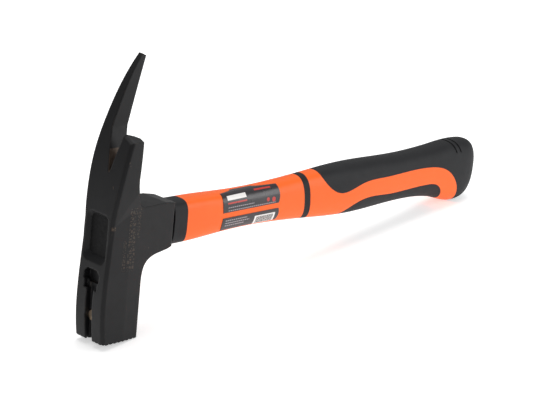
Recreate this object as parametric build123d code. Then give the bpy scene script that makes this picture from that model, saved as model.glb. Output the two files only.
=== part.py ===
"""Carpenter's roofing hammer: a forged head with a pike and a short claw, on a moulded fibreglass handle.

Frame, in millimetres: the origin is the middle of the striking face, +Z runs up the head to the pike,
+X runs along the handle to the butt, and Y runs across the head. The pike is on the +Y side.
"""
from build123d import *
from math import cos, pi, radians, sin
import os

os.makedirs("parts", exist_ok=True)

# Head
FACE_HALF = 12.5            # half the width and half the depth of the square striking face
HEAD_HEIGHT = 165.0         # striking face to the pike's tip
BACK_X = 13.6               # back of the striking part
CHEEK_TAPER_X = 2.5         # the cheeks narrow towards the socket from here
MOUTH_X = 38.2              # mouth of the handle socket
MOUTH_HALF_WIDTH = 9.6
MOUTH_BOTTOM_Z = 52.2
MOUTH_TOP_Z = 78.0
FRONT_BEVEL = 1.6           # along both front edges
RIM_BEVEL = 0.4             # round the striking face
NECK_ROUND = 1.6            # along the socket's four long edges
AXIS_Z = 64.0               # height of the handle's axis above the striking face
TAIL_HALF = 15.0            # half width of the tail where the pike and the claw part
TAIL_LEAN_Z = 72.0          # the front of the tail leans back above here
TAIL_LEAN = 0.0033          # roughly, as the square of the height above that
CHEEK_BLEND = (0.079, 1.0, -0.157)   # the tail's cheeks run out into the tapered body along this slope
TAIL_ROOT_X = 12.5          # the back of the tail runs out into the top of the socket here
NOTCH_BOTTOM_Z = 100.5
NOTCH_Y = -2.0              # the bottom of the notch lies on the claw's side
NOTCH_LOW = (0.8, 1.6)      # half width and height of the notch's narrow bottom
CLAW_TIP_Z = 123.0
CLAW_TIP_FALL = 3.2         # the claw's end is cut off on a slant

# Milled striking face
MILL_PITCH = 3.1
MILL_WIDTH = 1.7
MILL_DEPTH = 1.0

# Nail holder in the front of the striking part
GROOVE_WIDTH = 5.8
GROOVE_FLOOR_X = -9.4       # at the striking face
GROOVE_TOP_X = -10.9        # at the pocket
POCKET_WIDTH = 13.0
POCKET_BOTTOM_Z = 34.5
POCKET_TOP_Z = 43.5
POCKET_FLOOR_X = -9.2
LEDGE_X = -11.6             # shallow step under the pocket
LEDGE_WIDTH = 11.0
LEDGE_BOTTOM_Z = 31.5
MAGNET_RADIUS = 3.3
MAGNET_LENGTH = 6.0
MAGNET_FRONT_X = -11.1
MAGNET_Z = 14.8

# Eye of the head, with the window at its front
EYE_WIDTH = 14.6
EYE_HEIGHT = 23.6
EYE_CORNER = 3.0
WINDOW_DEPTH_X = -10.2      # the fill in the window stands this far back
WINDOW_FRONT_X = -16.0      # the window's sloping walls are carried out to here
WINDOW_WIDTH = 23.2
WINDOW_HEIGHT = 36.5

# Handle
CORE_HALF_WIDTH = 5.0
CORE_HALF_HEIGHT = 8.5
CORE_FRONT_X = -6.0
CORE_END_X = 284.0
COLLAR_GAP = 1.1            # shadow line between the socket's mouth and the collar
COLLAR_END_X = 49.4
RING_X = 150.2
RING_WIDTH = 5.0
RING_TILT = -7.0
RING_DEPTH = 1.6
PANEL_DEPTH = 2.2
LABEL_THICKNESS = 0.25
LABEL_UPPER_Z = (65.1, 75.9)
LABEL_LOWER_Z = (53.8, 61.7)
BUTT_X = 300.0              # the rounded end of the butt starts here
BUTT_LENGTH = 13.0
BUTT_RELIEF_WIDTH = 1.1
BUTT_RELIEF_DEPTH = 0.6
BUTT_RELIEF_PLACES = (285.0, 289.2)

# Side view of the handle: x, top, bottom and half width
HANDLE_STATIONS = [
    (COLLAR_END_X - 12.0, 77.2, 50.6, 9.0),
    (56.0, 76.9, 50.6, 8.9),
    (76.0, 76.3, 51.4, 8.7),
    (100.0, 75.8, 51.8, 8.5),
    (130.0, 76.8, 50.7, 8.6),
    (152.0, 78.2, 49.1, 8.9),
    (173.0, 79.6, 47.4, 10.0),
    (195.0, 80.2, 46.7, 11.0),
    (218.0, 79.7, 47.6, 11.0),
    (241.0, 79.4, 48.4, 10.7),
    (262.0, 80.2, 47.5, 11.0),
    (276.0, 81.3, 45.0, 11.6),
    (288.0, 82.4, 41.4, 12.1),
    (BUTT_X, 82.4, 41.0, 12.1),
]
GRIP_POWER = 2.5            # superellipse power of the grip's sections
COLLAR_POWER = 3.6          # and of the squarer sections at the collar
SECTION_POINTS = 20
DOME_ANGLES = (25.0, 42.0, 58.0, 72.0, 82.0)


def box(x0, x1, y0, y1, z0, z1):
    """A block between two corners."""
    middle = ((x0 + x1) / 2, (y0 + y1) / 2, (z0 + z1) / 2)
    return Pos(*middle) * Box(x1 - x0, y1 - y0, z1 - z0)


def slab_along_y(face, half_width):
    """An outline drawn in the XZ plane, carried to both sides."""
    return extrude(face, amount=half_width, both=True)


def side_point(x, z):
    return Vector(x, 0, z)


def front_point(y, z):
    return Vector(0, y, z)


# ---------------------------------------------------------------- head

def front_edges(body):
    """The edges between the front of a body and its cheeks, which face +Y and -Y."""
    return [edge for edge in body.edges() if edge.length > 5 and on_front(edge.center())]


def on_front(point):
    """True near the head's front profile, and out towards a cheek."""
    lean = max(0.0, point.Z - TAIL_LEAN_Z) ** 2 * TAIL_LEAN
    return abs(point.Y) > 9 and point.X < lean - 8.5


def striking_body():
    """Striking part, cheeks and socket, up to the root of the tail."""
    front = Spline([side_point(-FACE_HALF, 0), side_point(-14.4, 33), side_point(-12.7, 60),
                    side_point(-12.0, 78)])
    top = Polyline([front @ 1, side_point(5, 84), side_point(12, 79.6), side_point(30, 79.4),
                    side_point(MOUTH_X, MOUTH_TOP_Z)])
    mouth = Line(top @ 1, side_point(MOUTH_X, MOUTH_BOTTOM_Z))
    under = Spline([mouth @ 1, side_point(26, 49.7), side_point(20.5, 48.3), side_point(16.2, 45.2),
                    side_point(14.4, 41.2), side_point(BACK_X, 34)])
    back = Line(under @ 1, side_point(BACK_X, 0))
    sole = Line(back @ 1, front @ 0)
    side = slab_along_y(make_face([front, top, mouth, under, back, sole]), 2 * FACE_HALF)
    plan = Polyline([(-20, -FACE_HALF), (CHEEK_TAPER_X, -FACE_HALF), (MOUTH_X, -MOUTH_HALF_WIDTH),
                     (MOUTH_X, MOUTH_HALF_WIDTH), (CHEEK_TAPER_X, FACE_HALF), (-20, FACE_HALF)], close=True)
    body = side & extrude(make_face(plan), amount=100)
    body = chamfer(front_edges(body), FRONT_BEVEL)
    body = chamfer(body.edges().group_by(Axis.Z)[0], RIM_BEVEL)
    long_edges = [e for e in body.edges() if e.center().X > 25 and abs(e.center().Y) > 5 and e.length > 15]
    return fillet(long_edges, NECK_ROUND)


def tail_front():
    """Front profile of the tail, from the striking part to the pike's point."""
    return Spline([side_point(-12.7, 60), side_point(-12.0, 78), side_point(-10.2, 92),
                   side_point(-7.6, 106), side_point(-1.6, 127.5), side_point(6.5, 148.6),
                   side_point(16.8, HEAD_HEIGHT)])


def tail_side(back):
    """Side view of the tail with a given back profile, which ends where the root curve starts."""
    front = tail_front()
    tip = Line(front @ 1, back @ 0)
    root = Spline([back @ 1, side_point(5.6, 88), side_point(TAIL_ROOT_X, 78)],
                  tangents=[(0, 0, -1), (1, 0, -0.3)])
    foot = Polyline([root @ 1, side_point(CHEEK_TAPER_X, 74), side_point(CHEEK_TAPER_X, 60), front @ 0])
    return slab_along_y(make_face([front, tip, back, root, foot]), 2 * TAIL_HALF)


def pike_outline():
    """Front view of the tail on the pike's side of the notch."""
    far = Spline([front_point(FACE_HALF, 72), front_point(14.5, 92), front_point(TAIL_HALF, 112),
                  front_point(12.8, 138), front_point(10.2, HEAD_HEIGHT)])
    end = Line(far @ 1, front_point(5.8, HEAD_HEIGHT))
    near = Spline([end @ 1, front_point(4.8, 150), front_point(4.7, 138), front_point(5.0, 124.5)])
    low_y, low_z = NOTCH_LOW
    notch = Polyline([near @ 1, front_point(NOTCH_Y + low_y, NOTCH_BOTTOM_Z + low_z),
                      front_point(NOTCH_Y, NOTCH_BOTTOM_Z)])
    base = Polyline([notch @ 1, front_point(NOTCH_Y, 55), front_point(FACE_HALF, 55), far @ 0])
    return make_face([far, end, near, notch, base])


def claw_outline():
    """Front view of the tail on the short claw's side of the notch."""
    low_y, low_z = NOTCH_LOW
    inner = Polyline([front_point(NOTCH_Y, NOTCH_BOTTOM_Z),
                      front_point(NOTCH_Y - low_y, NOTCH_BOTTOM_Z + low_z),
                      front_point(-6.3, CLAW_TIP_Z)])
    end = Line(inner @ 1, front_point(-14.9, CLAW_TIP_Z - CLAW_TIP_FALL))
    near = Spline([end @ 1, front_point(-TAIL_HALF, 108), front_point(-14.3, 92),
                   front_point(-FACE_HALF, 72)])
    base = Polyline([near @ 1, front_point(-FACE_HALF, 55), front_point(NOTCH_Y, 55), inner @ 0])
    return make_face([inner, end, near, base])


def tail():
    """The flared tail that parts into the long pike and the short claw."""
    pike_back = Spline([side_point(19.6, HEAD_HEIGHT - 1.4), side_point(15.2, 150), side_point(11.8, 137),
                        side_point(8.4, 122), side_point(4.9, 108), side_point(4.0, 98)])
    claw_back = Polyline([side_point(4.9, 140), side_point(4.6, 119), side_point(4.0, 98)])
    pike = tail_side(pike_back) & extrude(pike_outline(), amount=60, both=True)
    claw = tail_side(claw_back) & extrude(claw_outline(), amount=60, both=True)
    end_cut = Polyline([side_point(-6, CLAW_TIP_Z + 2), side_point(-2, CLAW_TIP_Z),
                        side_point(10, CLAW_TIP_Z - 3.4), side_point(10, 140), side_point(-6, 140)],
                       close=True)
    claw -= slab_along_y(make_face(end_cut), 30)
    body = chamfer(front_edges(pike), FRONT_BEVEL) + chamfer(front_edges(claw), FRONT_BEVEL)
    for sign in (-1, 1):
        slope = (CHEEK_BLEND[0], sign * CHEEK_BLEND[1], CHEEK_BLEND[2])
        blend_plane = Plane(origin=(CHEEK_TAPER_X, sign * FACE_HALF, MOUTH_TOP_Z), z_dir=slope)
        body -= blend_plane * Pos(0, 0, 10) * Box(80, 80, 20)
    return body


def mill_cuts():
    """V-shaped cuts both ways across the striking face."""
    half = MILL_WIDTH / 2
    profile = [(-half, -0.01), (half, -0.01), (0, MILL_DEPTH)]
    across_x = extrude(Plane.YZ * make_face(Polyline(profile, close=True)), amount=30, both=True)
    across_y = extrude(Plane.XZ * make_face(Polyline(profile, close=True)), amount=30, both=True)
    offsets = [(i + 0.5) * MILL_PITCH for i in range(-5, 5)]
    cuts = [Pos(0, d, 0) * across_x for d in offsets if abs(d) < FACE_HALF]
    cuts += [Pos(d, 0, 0) * across_y for d in offsets if abs(d) < FACE_HALF + half]
    return cuts


def nail_holder_cuts():
    """The nail groove, the pocket for the nail's head and the magnet's seat."""
    floor = Polyline([side_point(-20, -1), side_point(GROOVE_FLOOR_X, -1),
                      side_point(GROOVE_TOP_X, POCKET_BOTTOM_Z + 1), side_point(-20, POCKET_BOTTOM_Z + 1)],
                     close=True)
    groove = slab_along_y(make_face(floor), GROOVE_WIDTH / 2)
    ledge = box(-20, LEDGE_X, -LEDGE_WIDTH / 2, LEDGE_WIDTH / 2, LEDGE_BOTTOM_Z, POCKET_BOTTOM_Z + 3)
    half = POCKET_WIDTH / 2
    corner = 2.5
    outline = Polyline([(-half, POCKET_BOTTOM_Z + corner), (-half + corner, POCKET_BOTTOM_Z),
                        (half - corner, POCKET_BOTTOM_Z), (half, POCKET_BOTTOM_Z + corner),
                        (half, POCKET_TOP_Z - corner), (half - corner, POCKET_TOP_Z),
                        (-half + corner, POCKET_TOP_Z), (-half, POCKET_TOP_Z - corner)], close=True)
    pocket = Pos(POCKET_FLOOR_X, 0, 0) * extrude(Plane.YZ * make_face(outline), amount=-12)
    seat = Pos(MAGNET_FRONT_X - 10, 0, MAGNET_Z) * Rot(0, 90, 0) * Cylinder(
        MAGNET_RADIUS, MAGNET_LENGTH + 10, align=(Align.CENTER, Align.CENTER, Align.MIN))
    return [groove, ledge, pocket, seat]


def eye_prism(x0, x1):
    """The straight eye, between two places along the handle's axis."""
    outline = RectangleRounded(EYE_WIDTH, EYE_HEIGHT, EYE_CORNER)
    return Pos(x0, 0, AXIS_Z - 1) * extrude(Plane.YZ * outline, amount=x1 - x0)


def window_cut():
    """The sloping frame round the eye's front end."""
    outer = Plane.YZ * RectangleRounded(WINDOW_WIDTH, WINDOW_HEIGHT, EYE_CORNER + 1)
    inner = Plane.YZ * RectangleRounded(EYE_WIDTH, EYE_HEIGHT, EYE_CORNER)
    return loft([Pos(WINDOW_FRONT_X, 0, AXIS_Z - 1) * outer, Pos(WINDOW_DEPTH_X, 0, AXIS_Z - 1) * inner])


def forged_head():
    head = striking_body() + tail()
    head -= eye_prism(WINDOW_DEPTH_X - 0.01, MOUTH_X + 1)
    head -= window_cut()
    for cut in nail_holder_cuts() + mill_cuts():
        head -= cut
    return head


def nail_magnet():
    return Pos(MAGNET_FRONT_X, 0, MAGNET_Z) * Rot(0, 90, 0) * Cylinder(
        MAGNET_RADIUS, MAGNET_LENGTH, align=(Align.CENTER, Align.CENTER, Align.MIN))


# -------------------------------------------------------------- handle

def core_bar(x0, x1):
    outline = Ellipse(CORE_HALF_WIDTH, CORE_HALF_HEIGHT)
    return Pos(x0, 0, AXIS_Z - 1) * extrude(Plane.YZ * outline, amount=x1 - x0)


def handle_section(x, middle, half_height, half_width):
    """A superellipse across the handle."""
    power = GRIP_POWER + (COLLAR_POWER - GRIP_POWER) * min(1.0, max(0.0, (110.0 - x) / 60.0))
    points = []
    for i in range(SECTION_POINTS):
        angle = 2 * pi * i / SECTION_POINTS
        c = cos(angle)
        s = sin(angle)
        y = half_width * abs(c) ** (2 / power) * (1 if c >= 0 else -1)
        z = half_height * abs(s) ** (2 / power) * (1 if s >= 0 else -1)
        points.append(Vector(x, y, middle + z))
    return make_face(Spline(points, periodic=True))


def handle_shape(offset=0.0):
    """The whole moulded handle, grown or shrunk by an offset."""
    sections = []
    for x, top, bottom, half_width in HANDLE_STATIONS:
        half_height = (top - bottom) / 2
        sections.append(handle_section(x, (top + bottom) / 2, half_height + offset, half_width + offset))
    x, top, bottom, half_width = HANDLE_STATIONS[-1]
    middle = (top + bottom) / 2
    for angle in DOME_ANGLES:
        lean = 5.0 * sin(radians(angle)) ** 2
        reach = (BUTT_LENGTH + offset) * sin(radians(angle))
        scale = cos(radians(angle)) ** 0.8
        sections.append(handle_section(x + reach, middle + lean, ((top - bottom) / 2 + offset) * scale,
                                       (half_width + offset) * scale))
    return loft(sections)


def upper_panel_region():
    """Side view of the black panel over the top of the grip and the butt."""
    edge = Spline([side_point(160.5, 84), side_point(163, 76), side_point(169.5, 68.5),
                   side_point(179.5, 63.6), side_point(198, 67.4), side_point(220, 68.7),
                   side_point(262, 69.4), side_point(280.5, 65.0), side_point(291, 53.6),
                   side_point(293.6, 45), side_point(292, 34)])
    rest = Polyline([edge @ 1, side_point(330, 34), side_point(330, 95), side_point(160.5, 95), edge @ 0])
    return slab_along_y(make_face([edge, rest]), 30)


def lower_panel_region():
    """Side view of the black panel under the fingers."""
    edge = Spline([side_point(178, 43), side_point(187, 51.0), side_point(199.5, 56.6), side_point(224, 56.8),
                   side_point(262, 57.8), side_point(272, 56.1), side_point(278.3, 49), side_point(278, 40)])
    rest = Polyline([edge @ 1, side_point(278, 30), side_point(178, 30), edge @ 0])
    return slab_along_y(make_face([edge, rest]), 30)


def ring_region():
    return Pos(RING_X, 0, AXIS_Z) * Rot(0, RING_TILT, 0) * Box(RING_WIDTH, 60, 80)


def label_region(z0, z1):
    """A label field on the near side, with a hollow front edge and a bowed back edge."""
    front = ThreePointArc(side_point(78.6, z1), side_point(78.0, (z0 + z1) / 2), side_point(78.4, z0))
    back = ThreePointArc(side_point(125.0, z0), side_point(126.0, (z0 + z1) / 2), side_point(125.2, z1))
    face = make_face([front, Line(front @ 1, back @ 0), back, Line(back @ 1, front @ 0)])
    return extrude(face, amount=30)


def butt_reliefs(skin):
    """Two short curved grooves across the top of the butt."""
    grooves = None
    for start_x in BUTT_RELIEF_PLACES:
        arc = Spline([side_point(start_x - 1, 85), side_point(start_x + 2.6, 79.8),
                      side_point(start_x + 3.6, 75.5)])
        path = offset_outline(arc, BUTT_RELIEF_WIDTH)
        grooves = path if grooves is None else grooves + path
    return grooves & skin


def offset_outline(arc, width):
    """A narrow strip that follows an arc in side view, carried to both sides."""
    shifted = arc.moved(Location((width, 0, 0)))
    face = make_face([arc, Line(arc @ 1, shifted @ 1), shifted, Line(shifted @ 0, arc @ 0)])
    return slab_along_y(face, 30)


outer = handle_shape()
inner = handle_shape(-PANEL_DEPTH)
skin = outer - inner
core = core_bar(CORE_FRONT_X, CORE_END_X)
behind_collar = box(COLLAR_END_X, 400, -40, 40, 0, 120)
collar_slot = box(MOUTH_X + COLLAR_GAP, COLLAR_END_X, -40, 40, 0, 120)

upper_grip = skin & upper_panel_region()
upper_grip -= butt_reliefs(outer - handle_shape(-BUTT_RELIEF_DEPTH))
finger_grip = skin & lower_panel_region()
ring_band = (outer - handle_shape(-RING_DEPTH)) & ring_region()
jacket = (outer & behind_collar) - core - (skin & upper_panel_region()) - finger_grip - ring_band
label_skin = handle_shape(LABEL_THICKNESS) - outer

parts = {
    "forged_head": forged_head(),
    "nail_magnet": nail_magnet(),
    "eye_fill": eye_prism(WINDOW_DEPTH_X, MOUTH_X) - core,
    "fibreglass_core": core,
    "neck_collar": (outer & collar_slot) - core,
    "handle_jacket": jacket,
    "ring_band": ring_band,
    "upper_grip": upper_grip,
    "finger_grip": finger_grip,
    "label_upper": label_skin & label_region(*LABEL_UPPER_Z),
    "label_lower": label_skin & label_region(*LABEL_LOWER_Z),
}
for name, shape in parts.items():
    export_step(shape, f"parts/{name}.step")
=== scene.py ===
"""Looks of the roofing hammer: camera, floor, studio light and procedural materials."""
import math
import bpy
from mathutils import Matrix, Vector

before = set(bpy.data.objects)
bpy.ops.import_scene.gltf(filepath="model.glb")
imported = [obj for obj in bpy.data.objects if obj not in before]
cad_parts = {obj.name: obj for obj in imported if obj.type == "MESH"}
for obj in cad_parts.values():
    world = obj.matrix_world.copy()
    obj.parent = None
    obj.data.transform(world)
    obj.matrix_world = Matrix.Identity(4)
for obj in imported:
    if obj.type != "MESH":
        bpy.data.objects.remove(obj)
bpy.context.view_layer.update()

MM = 0.001


# ------------------------------------------------------------- camera

CAMERA_PLACE = Vector((-768.9, -850.3, 435.5)) * MM
CAMERA_RIGHT = Vector((0.705, -0.702, 0.096))
CAMERA_UP = Vector((0.139, 0.270, 0.953))
LENS_MM = 139.5


def add_camera():
    data = bpy.data.cameras.new("camera")
    data.lens = LENS_MM
    data.sensor_width = 36.0
    data.clip_start = 0.05
    camera = bpy.data.objects.new("camera", data)
    right = CAMERA_RIGHT.normalized()
    back = right.cross(CAMERA_UP).normalized()
    up = back.cross(right)
    camera.matrix_world = Matrix.Translation(CAMERA_PLACE) @ Matrix((right, up, back)).transposed().to_4x4()
    bpy.context.scene.collection.objects.link(camera)
    bpy.context.scene.camera = camera


# ---------------------------------------------------- floor and light

REST_TILT = math.radians(8.1)       # the hammer rests on the back edge of its face and on its butt
REST_EDGE = Vector((13.2, 0, 0)) * MM
FLOOR_HALF = 6.0
FLOOR_GLOW = 0.5                    # keeps the pale floor white under soft light
WORLD_STRENGTH = 0.40
LIT_MIDDLE = (0.13, 0.0, 0.07)


def add_floor():
    mesh = bpy.data.meshes.new("floor")
    half = FLOOR_HALF
    corners = [(-half, -half, 0), (half, -half, 0), (half, half, 0), (-half, half, 0)]
    mesh.from_pydata(corners, [], [(0, 1, 2, 3)])
    floor = bpy.data.objects.new("floor", mesh)
    floor.matrix_world = Matrix.Translation(REST_EDGE) @ Matrix.Rotation(-REST_TILT, 4, "Y")
    bpy.context.scene.collection.objects.link(floor)
    paint = bpy.data.materials.new("pale_floor")
    paint.use_nodes = True
    shader = paint.node_tree.nodes["Principled BSDF"]
    shader.inputs["Base Color"].default_value = (0.93, 0.93, 0.93, 1)
    shader.inputs["Roughness"].default_value = 0.9
    shader.inputs["Emission Color"].default_value = (1, 1, 1, 1)
    shader.inputs["Emission Strength"].default_value = FLOOR_GLOW
    mesh.materials.append(paint)


def add_softbox(name, place, target, size, watts):
    data = bpy.data.lights.new(name, "AREA")
    data.shape = "RECTANGLE"
    data.size = size[0]
    data.size_y = size[1]
    data.energy = watts
    light = bpy.data.objects.new(name, data)
    place = Vector(place)
    aim = (Vector(target) - place).to_track_quat("-Z", "Y")
    light.matrix_world = Matrix.Translation(place) @ aim.to_matrix().to_4x4()
    bpy.context.scene.collection.objects.link(light)


def add_light():
    world = bpy.data.worlds.new("studio")
    world.use_nodes = True
    background = world.node_tree.nodes["Background"]
    background.inputs["Color"].default_value = (1.0, 1.0, 1.0, 1)
    background.inputs["Strength"].default_value = WORLD_STRENGTH
    bpy.context.scene.world = world
    add_softbox("top", (0.15, 0.1, 0.95), LIT_MIDDLE, (0.9, 0.6), 5.4)
    add_softbox("right", (0.75, -0.8, 0.45), LIT_MIDDLE, (0.5, 0.5), 3.6)
    bpy.context.scene.view_settings.view_transform = "Standard"


# ---------------------------------------------------- shader building

class Nodes:
    """A small helper that builds one material's node tree. Lengths in its masks are millimetres."""

    def __init__(self, name):
        self.material = bpy.data.materials.new(name)
        self.material.use_nodes = True
        self.tree = self.material.node_tree
        self.shader = self.tree.nodes["Principled BSDF"]
        self.position = None
        self.split = None

    def new(self, kind):
        return self.tree.nodes.new("ShaderNode" + kind)

    def link(self, value, socket):
        if hasattr(value, "is_output"):
            self.tree.links.new(value, socket)
        else:
            socket.default_value = value

    def math(self, operation, a, b=0.0, c=0.0):
        node = self.new("Math")
        node.operation = operation
        for value, socket in zip((a, b, c), node.inputs):
            self.link(value, socket)
        return node.outputs[0]

    def place(self, axis):
        """One coordinate of the surface point at rest, in millimetres."""
        if self.position is None:
            coordinates = self.new("TexCoord")
            scale = self.new("VectorMath")
            scale.operation = "SCALE"
            scale.inputs["Scale"].default_value = 1 / MM
            self.tree.links.new(coordinates.outputs["Object"], scale.inputs[0])
            self.position = scale.outputs[0]
            self.split = self.new("SeparateXYZ")
            self.tree.links.new(self.position, self.split.inputs[0])
        return self.split.outputs["XYZ".index(axis)]

    def facing(self, axis):
        """One component of the flat surface normal."""
        geometry = self.new("NewGeometry")
        split = self.new("SeparateXYZ")
        self.tree.links.new(geometry.outputs["True Normal"], split.inputs[0])
        return split.outputs["XYZ".index(axis)]

    def step(self, value, edge, soft=0.05):
        """0 below the edge and 1 above it, with a narrow soft border."""
        node = self.new("MapRange")
        node.interpolation_type = "SMOOTHSTEP"
        self.link(value, node.inputs["Value"])
        node.inputs["From Min"].default_value = edge - soft
        node.inputs["From Max"].default_value = edge + soft
        return node.outputs["Result"]

    def between(self, value, low, high, soft=0.05):
        return self.math("SUBTRACT", self.step(value, low, soft), self.step(value, high, soft))

    def both(self, *masks):
        result = masks[0]
        for mask in masks[1:]:
            result = self.math("MULTIPLY", result, mask)
        return result

    def either(self, *masks):
        result = masks[0]
        for mask in masks[1:]:
            result = self.math("MAXIMUM", result, mask)
        return result

    def noise(self, size, detail=4.0, roughness=0.5, stretch=(1, 1, 1)):
        """Noise whose blobs are about size millimetres across."""
        self.place("X")
        mapping = self.new("Mapping")
        mapping.inputs["Scale"].default_value = tuple(s / size for s in stretch)
        self.tree.links.new(self.position, mapping.inputs["Vector"])
        node = self.new("TexNoise")
        self.tree.links.new(mapping.outputs[0], node.inputs["Vector"])
        node.inputs["Scale"].default_value = 1.0
        node.inputs["Detail"].default_value = detail
        node.inputs["Roughness"].default_value = roughness
        return node.outputs["Fac"]

    def cells(self, size):
        self.place("X")
        node = self.new("TexVoronoi")
        self.tree.links.new(self.position, node.inputs["Vector"])
        node.inputs["Scale"].default_value = 1.0 / size
        return node.outputs["Distance"]

    def span(self, value, low, high):
        """Stretches a 0 to 1 value to low to high."""
        return self.math("MULTIPLY_ADD", value, high - low, low)

    def mix(self, mask, low, high):
        """Colour low where the mask is 0, high where it is 1."""
        node = self.new("Mix")
        node.data_type = "RGBA"
        self.link(mask, node.inputs[0])
        self.link(colour(low), node.inputs[6])
        self.link(colour(high), node.inputs[7])
        return node.outputs[2]

    def blend(self, mask, low, high):
        """Number low where the mask is 0, high where it is 1."""
        node = self.new("Mix")
        self.link(mask, node.inputs[0])
        self.link(low, node.inputs[2])
        self.link(high, node.inputs[3])
        return node.outputs[0]

    def edge_mask(self, radius):
        """1 on edges within radius millimetres, 0 on open faces."""
        bevel = self.new("Bevel")
        bevel.samples = 6
        bevel.inputs["Radius"].default_value = radius * MM
        geometry = self.new("NewGeometry")
        dot = self.new("VectorMath")
        dot.operation = "DOT_PRODUCT"
        self.tree.links.new(bevel.outputs[0], dot.inputs[0])
        self.tree.links.new(geometry.outputs["Normal"], dot.inputs[1])
        return self.step(dot.outputs["Value"], 0.93, -0.05)

    def bump(self, height, depth, radius=0.0):
        """Relief of depth millimetres, over edges rounded to radius millimetres."""
        node = self.new("Bump")
        node.inputs["Distance"].default_value = depth * MM
        self.link(height, node.inputs["Height"])
        if radius:
            bevel = self.new("Bevel")
            bevel.samples = 6
            bevel.inputs["Radius"].default_value = radius * MM
            self.tree.links.new(bevel.outputs[0], node.inputs["Normal"])
        self.tree.links.new(node.outputs[0], self.shader.inputs["Normal"])

    def finish(self, base, roughness, metallic=0.0):
        self.link(colour(base), self.shader.inputs["Base Color"])
        self.link(roughness, self.shader.inputs["Roughness"])
        self.link(metallic, self.shader.inputs["Metallic"])
        return self.material


def colour(value):
    if isinstance(value, tuple):
        return (*value, 1.0)[:4]
    return value


# ---------------------------------------------------------- materials

COATING_DARK = (0.0045, 0.0045, 0.005)
COATING_LIGHT = (0.0095, 0.0095, 0.0105)
STAMP_COLOUR = (0.075, 0.055, 0.042)
STEEL_DARK = (0.045, 0.034, 0.026)
STEEL_LIGHT = (0.12, 0.09, 0.07)
NOTCH_Y = (-6.9, 1.8)               # bare steel shows on the notch's walls
NOTCH_Z = (100.0, 126.0)
CHIP_Y = (-12.8, -11.6)             # paint chip on the near front edge
CHIP_Z = (69.2, 71.2)
CHIP_FRONT_X = -9.5
STAMP_COLUMNS = (                   # x from and to, z from and to, cell length and the gap between cells
    (1.0, 6.6, 43.0, 80.5, 3.6, 0.6),
    (7.3, 9.7, 62.0, 80.0, 2.1, 0.4),
    (-2.8, -0.4, 43.5, 61.5, 2.1, 0.4),
)


def stamped_column(n, x0, x1, z0, z1, cell, gap):
    """One column of stamped cells up the near cheek, each filled with random cracked shards."""
    area = n.both(n.between(n.place("X"), x0, x1, 0.1), n.between(n.place("Z"), z0, z1, 0.1))
    along = n.math("FRACT", n.math("DIVIDE", n.place("Z"), cell))
    cells = n.math("GREATER_THAN", along, gap / cell)
    shards = n.new("TexVoronoi")
    shards.feature = "DISTANCE_TO_EDGE"
    n.tree.links.new(n.position, shards.inputs["Vector"])
    shards.inputs["Scale"].default_value = 1.55 / cell
    solid = n.step(shards.outputs["Distance"], 0.13, 0.03)
    return n.both(area, cells, solid)


def stamped_strip(n):
    """Three columns of generic stamped marks. They spell nothing."""
    near_cheek = n.math("LESS_THAN", n.facing("Y"), -0.85)
    marks = n.either(*[stamped_column(n, *column) for column in STAMP_COLUMNS])
    worn = n.span(n.noise(2.6, 3.0), 0.6, 1.0)
    return n.both(near_cheek, marks, worn)


def black_steel():
    n = Nodes("black_coated_steel")
    patches = n.noise(18.0, 3.0)
    grain = n.noise(0.45, 3.0)
    scale_marks = n.noise(3.5, 5.0, 0.65)
    inside_notch = n.both(n.between(n.place("Z"), *NOTCH_Z, 0.8),
                          n.between(n.place("Y"), *NOTCH_Y, 0.1),
                          n.math("GREATER_THAN", n.math("ABSOLUTE", n.facing("Y")), 0.6))
    # Patchy lighter steel colour along the edges: partly edge wear, partly a painted highlight for light
    # catching the rounded edges.
    edges = n.both(n.edge_mask(0.45), n.step(n.noise(4.0, 5.0, 0.7), 0.56, 0.05))
    chips = n.both(n.step(n.noise(7.0, 4.0, 0.6), 0.72, 0.01), n.step(n.noise(1.3, 3.0), 0.5, 0.03))
    stamp = stamped_strip(n)
    coat = n.mix(patches, COATING_DARK, COATING_LIGHT)
    coat = n.mix(n.math("MULTIPLY", stamp, 0.75), coat, STAMP_COLOUR)
    steel = n.mix(scale_marks, STEEL_DARK, STEEL_LIGHT)
    worn_corner = n.both(n.between(n.place("Z"), *CHIP_Z, 0.5), n.between(n.place("Y"), *CHIP_Y, 0.3),
                         n.math("LESS_THAN", n.place("X"), CHIP_FRONT_X),
                         n.step(n.noise(1.6, 3.0), 0.42, 0.04))
    # Bare steel in the notch, the chips and the worn corner, plus the painted edge highlight from the edges
    # mask.
    bare_steel_and_edge_highlight = n.either(inside_notch, n.math("MULTIPLY", edges, 0.7), chips, worn_corner)
    base = n.mix(bare_steel_and_edge_highlight, coat, steel)
    rough = n.blend(bare_steel_and_edge_highlight, n.span(n.noise(6.0, 4.0), 0.40, 0.56), 0.42)
    relief = n.math("ADD", n.math("MULTIPLY", grain, 0.10), n.math("MULTIPLY", scale_marks, 0.12))
    relief = n.math("SUBTRACT", relief, n.math("MULTIPLY", stamp, 0.9))
    n.bump(relief, 0.22, 1.5)
    n.shader.inputs["Specular IOR Level"].default_value = 0.22
    return n.finish(base, rough, n.math("MULTIPLY", bare_steel_and_edge_highlight, 0.6))


def magnet_metal():
    n = Nodes("dull_plated_magnet")
    base = n.mix(n.noise(1.2, 4.0), (0.30, 0.21, 0.13), (0.62, 0.50, 0.37))
    n.bump(n.noise(0.5, 3.0), 0.05, 0.25)
    return n.finish(base, n.span(n.noise(0.9, 3.0), 0.30, 0.5), 0.85)


def resin():
    n = Nodes("black_resin")
    base = n.mix(n.noise(4.0, 4.0), (0.002, 0.002, 0.0022), (0.005, 0.005, 0.0055))
    n.bump(n.noise(2.4, 4.0), 0.25, 0.2)
    n.shader.inputs["Specular IOR Level"].default_value = 0.12
    return n.finish(base, n.span(n.noise(3.0), 0.45, 0.62))


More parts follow.
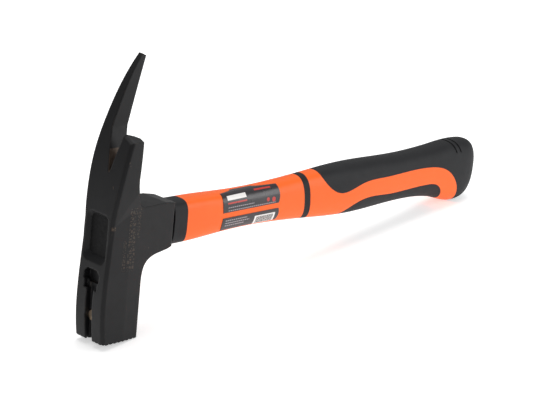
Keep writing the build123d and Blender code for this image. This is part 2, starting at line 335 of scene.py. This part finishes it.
def fibreglass():
    n = Nodes("glass_fibre_bar")
    strands = n.noise(0.5, 3.0, 0.6, (0.03, 1, 1))
    base = n.mix(strands, (0.55, 0.48, 0.25), (0.78, 0.72, 0.45))
    n.bump(strands, 0.05)
    return n.finish(base, 0.45)


PARTING_HALF_WIDTH = 0.25           # the mould's parting line, along the top of the handle
PARTING_LOW_Z = 72.0
GRIP_TINT = 0.002                   # the grip's panels are a little lighter than the collar and the ring


def black_rubber(name, tint=0.0):
    n = Nodes(name)
    base = n.mix(n.noise(9.0, 4.0), (0.008 + tint, 0.0085 + tint, 0.010 + tint),
                 (0.013 + tint, 0.0135 + tint, 0.015 + tint))
    grain = n.math("ADD", n.math("MULTIPLY", n.cells(0.55), 0.6), n.math("MULTIPLY", n.noise(0.3, 2.0), 0.4))
    half = PARTING_HALF_WIDTH
    parting_line = n.both(n.between(n.place("Y"), -half, half, 0.12),
                          n.math("GREATER_THAN", n.place("Z"), PARTING_LOW_Z))
    grain = n.math("ADD", grain, n.math("MULTIPLY", parting_line, 2.0))
    n.bump(grain, 0.05, 0.35)
    n.shader.inputs["Specular IOR Level"].default_value = 0.24
    return n.finish(base, n.span(n.noise(5.0, 4.0), 0.50, 0.64))


def orange_shell():
    n = Nodes("orange_moulding")
    base = n.mix(n.noise(14.0, 3.0), (0.97, 0.128, 0.010), (0.99, 0.146, 0.014))
    speck = n.both(n.step(n.noise(0.8, 2.0), 0.70, 0.02), n.step(n.noise(6.0, 2.0), 0.5, 0.1))
    base = n.mix(n.math("MULTIPLY", speck, 0.10), base, (0.35, 0.07, 0.02))
    n.bump(n.noise(0.35, 3.0), 0.035, 0.3)
    n.shader.inputs["Specular IOR Level"].default_value = 0.32
    return n.finish(base, n.span(n.noise(4.0, 4.0), 0.36, 0.5))


PRINT_WHITE = (0.82, 0.80, 0.78)
PRINT_RED = (0.52, 0.035, 0.028)
PRINT_GREY = (0.32, 0.28, 0.30)
PRINT_BLACK = (0.03, 0.03, 0.03)
WHITE_BAR = (82.0, 98.0, 72.2, 74.6)        # each block is x from and to, then z from and to
RED_RULE = (82.0, 98.0, 70.0, 70.9)
RED_DOTS = ((115.8, 68.4, 1.25), (120.6, 67.9, 1.5))        # x, z and radius
TOP_RED_RULE = (106.0, 119.5, 74.6, 75.3)
GREY_RULES = (
    (82.0, 104.0, 67.6, 68.2),
    (82.0, 122.0, 65.7, 66.3),
    (80.5, 99.0, 59.6, 60.3),
    (80.5, 101.0, 58.0, 58.7),
    (80.5, 97.0, 56.4, 57.1),
)
BAR_FIELD = (105.5, 122.8, 53.0, 59.4)
BARS = (107.0, 121.5, 54.0, 58.6)


def label_film(name):
    """Black printed film. Blocks, rules, dots and bars only, with no lettering."""
    n = Nodes(name)
    x = n.place("X")
    z = n.place("Z")

    def block(x0, x1, z0, z1, soft=0.06):
        return n.both(n.between(x, x0, x1, soft), n.between(z, z0, z1, soft))

    def dot(x0, z0, radius):
        dx = n.math("SUBTRACT", x, x0)
        dz = n.math("SUBTRACT", z, z0)
        far = n.math("SQRT", n.math("ADD", n.math("MULTIPLY", dx, dx), n.math("MULTIPLY", dz, dz)))
        return n.math("SUBTRACT", 1.0, n.step(far, radius, 0.08))

    base = n.mix(n.noise(5.0, 3.0), (0.020, 0.017, 0.020), (0.030, 0.026, 0.030))
    dashes = n.math("GREATER_THAN", n.math("FRACT", n.math("MULTIPLY", x, 0.62)), 0.24)
    white = block(*WHITE_BAR)
    red = n.either(block(*RED_RULE), *[dot(*place) for place in RED_DOTS], block(*TOP_RED_RULE))
    grey = n.both(n.either(*[block(*rule) for rule in GREY_RULES]), dashes)
    bar_field = block(*BAR_FIELD)
    wide = n.math("GREATER_THAN", n.math("SINE", n.math("MULTIPLY", x, 7.3)), 0.25)
    narrow = n.math("GREATER_THAN", n.math("SINE", n.math("MULTIPLY", x, 17.9)), 0.1)
    bars = n.both(block(*BARS), n.either(wide, narrow))
    base = n.mix(grey, base, PRINT_GREY)
    base = n.mix(white, base, PRINT_WHITE)
    base = n.mix(red, base, PRINT_RED)
    base = n.mix(bar_field, base, PRINT_WHITE)
    base = n.mix(bars, base, PRINT_BLACK)
    n.bump(n.noise(2.0, 3.0), 0.03)
    return n.finish(base, n.span(n.noise(7.0, 3.0), 0.24, 0.34))


def dress(node, material):
    """Gives a CAD node its material, in every slot it has."""
    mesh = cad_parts[node].data
    mesh.materials.clear()
    mesh.materials.append(material)
    for polygon in mesh.polygons:
        polygon.material_index = 0


add_camera()
add_floor()
add_light()

dress("forged_head", black_steel())
dress("nail_magnet", magnet_metal())
dress("eye_fill", resin())
dress("fibreglass_core", fibreglass())
dress("neck_collar", black_rubber("collar_rubber"))
dress("ring_band", black_rubber("ring_rubber"))
dress("upper_grip", black_rubber("grip_rubber", GRIP_TINT))
dress("finger_grip", black_rubber("finger_rubber", GRIP_TINT))
dress("handle_jacket", orange_shell())
dress("label_upper", label_film("label_print_upper"))
dress("label_lower", label_film("label_print_lower"))
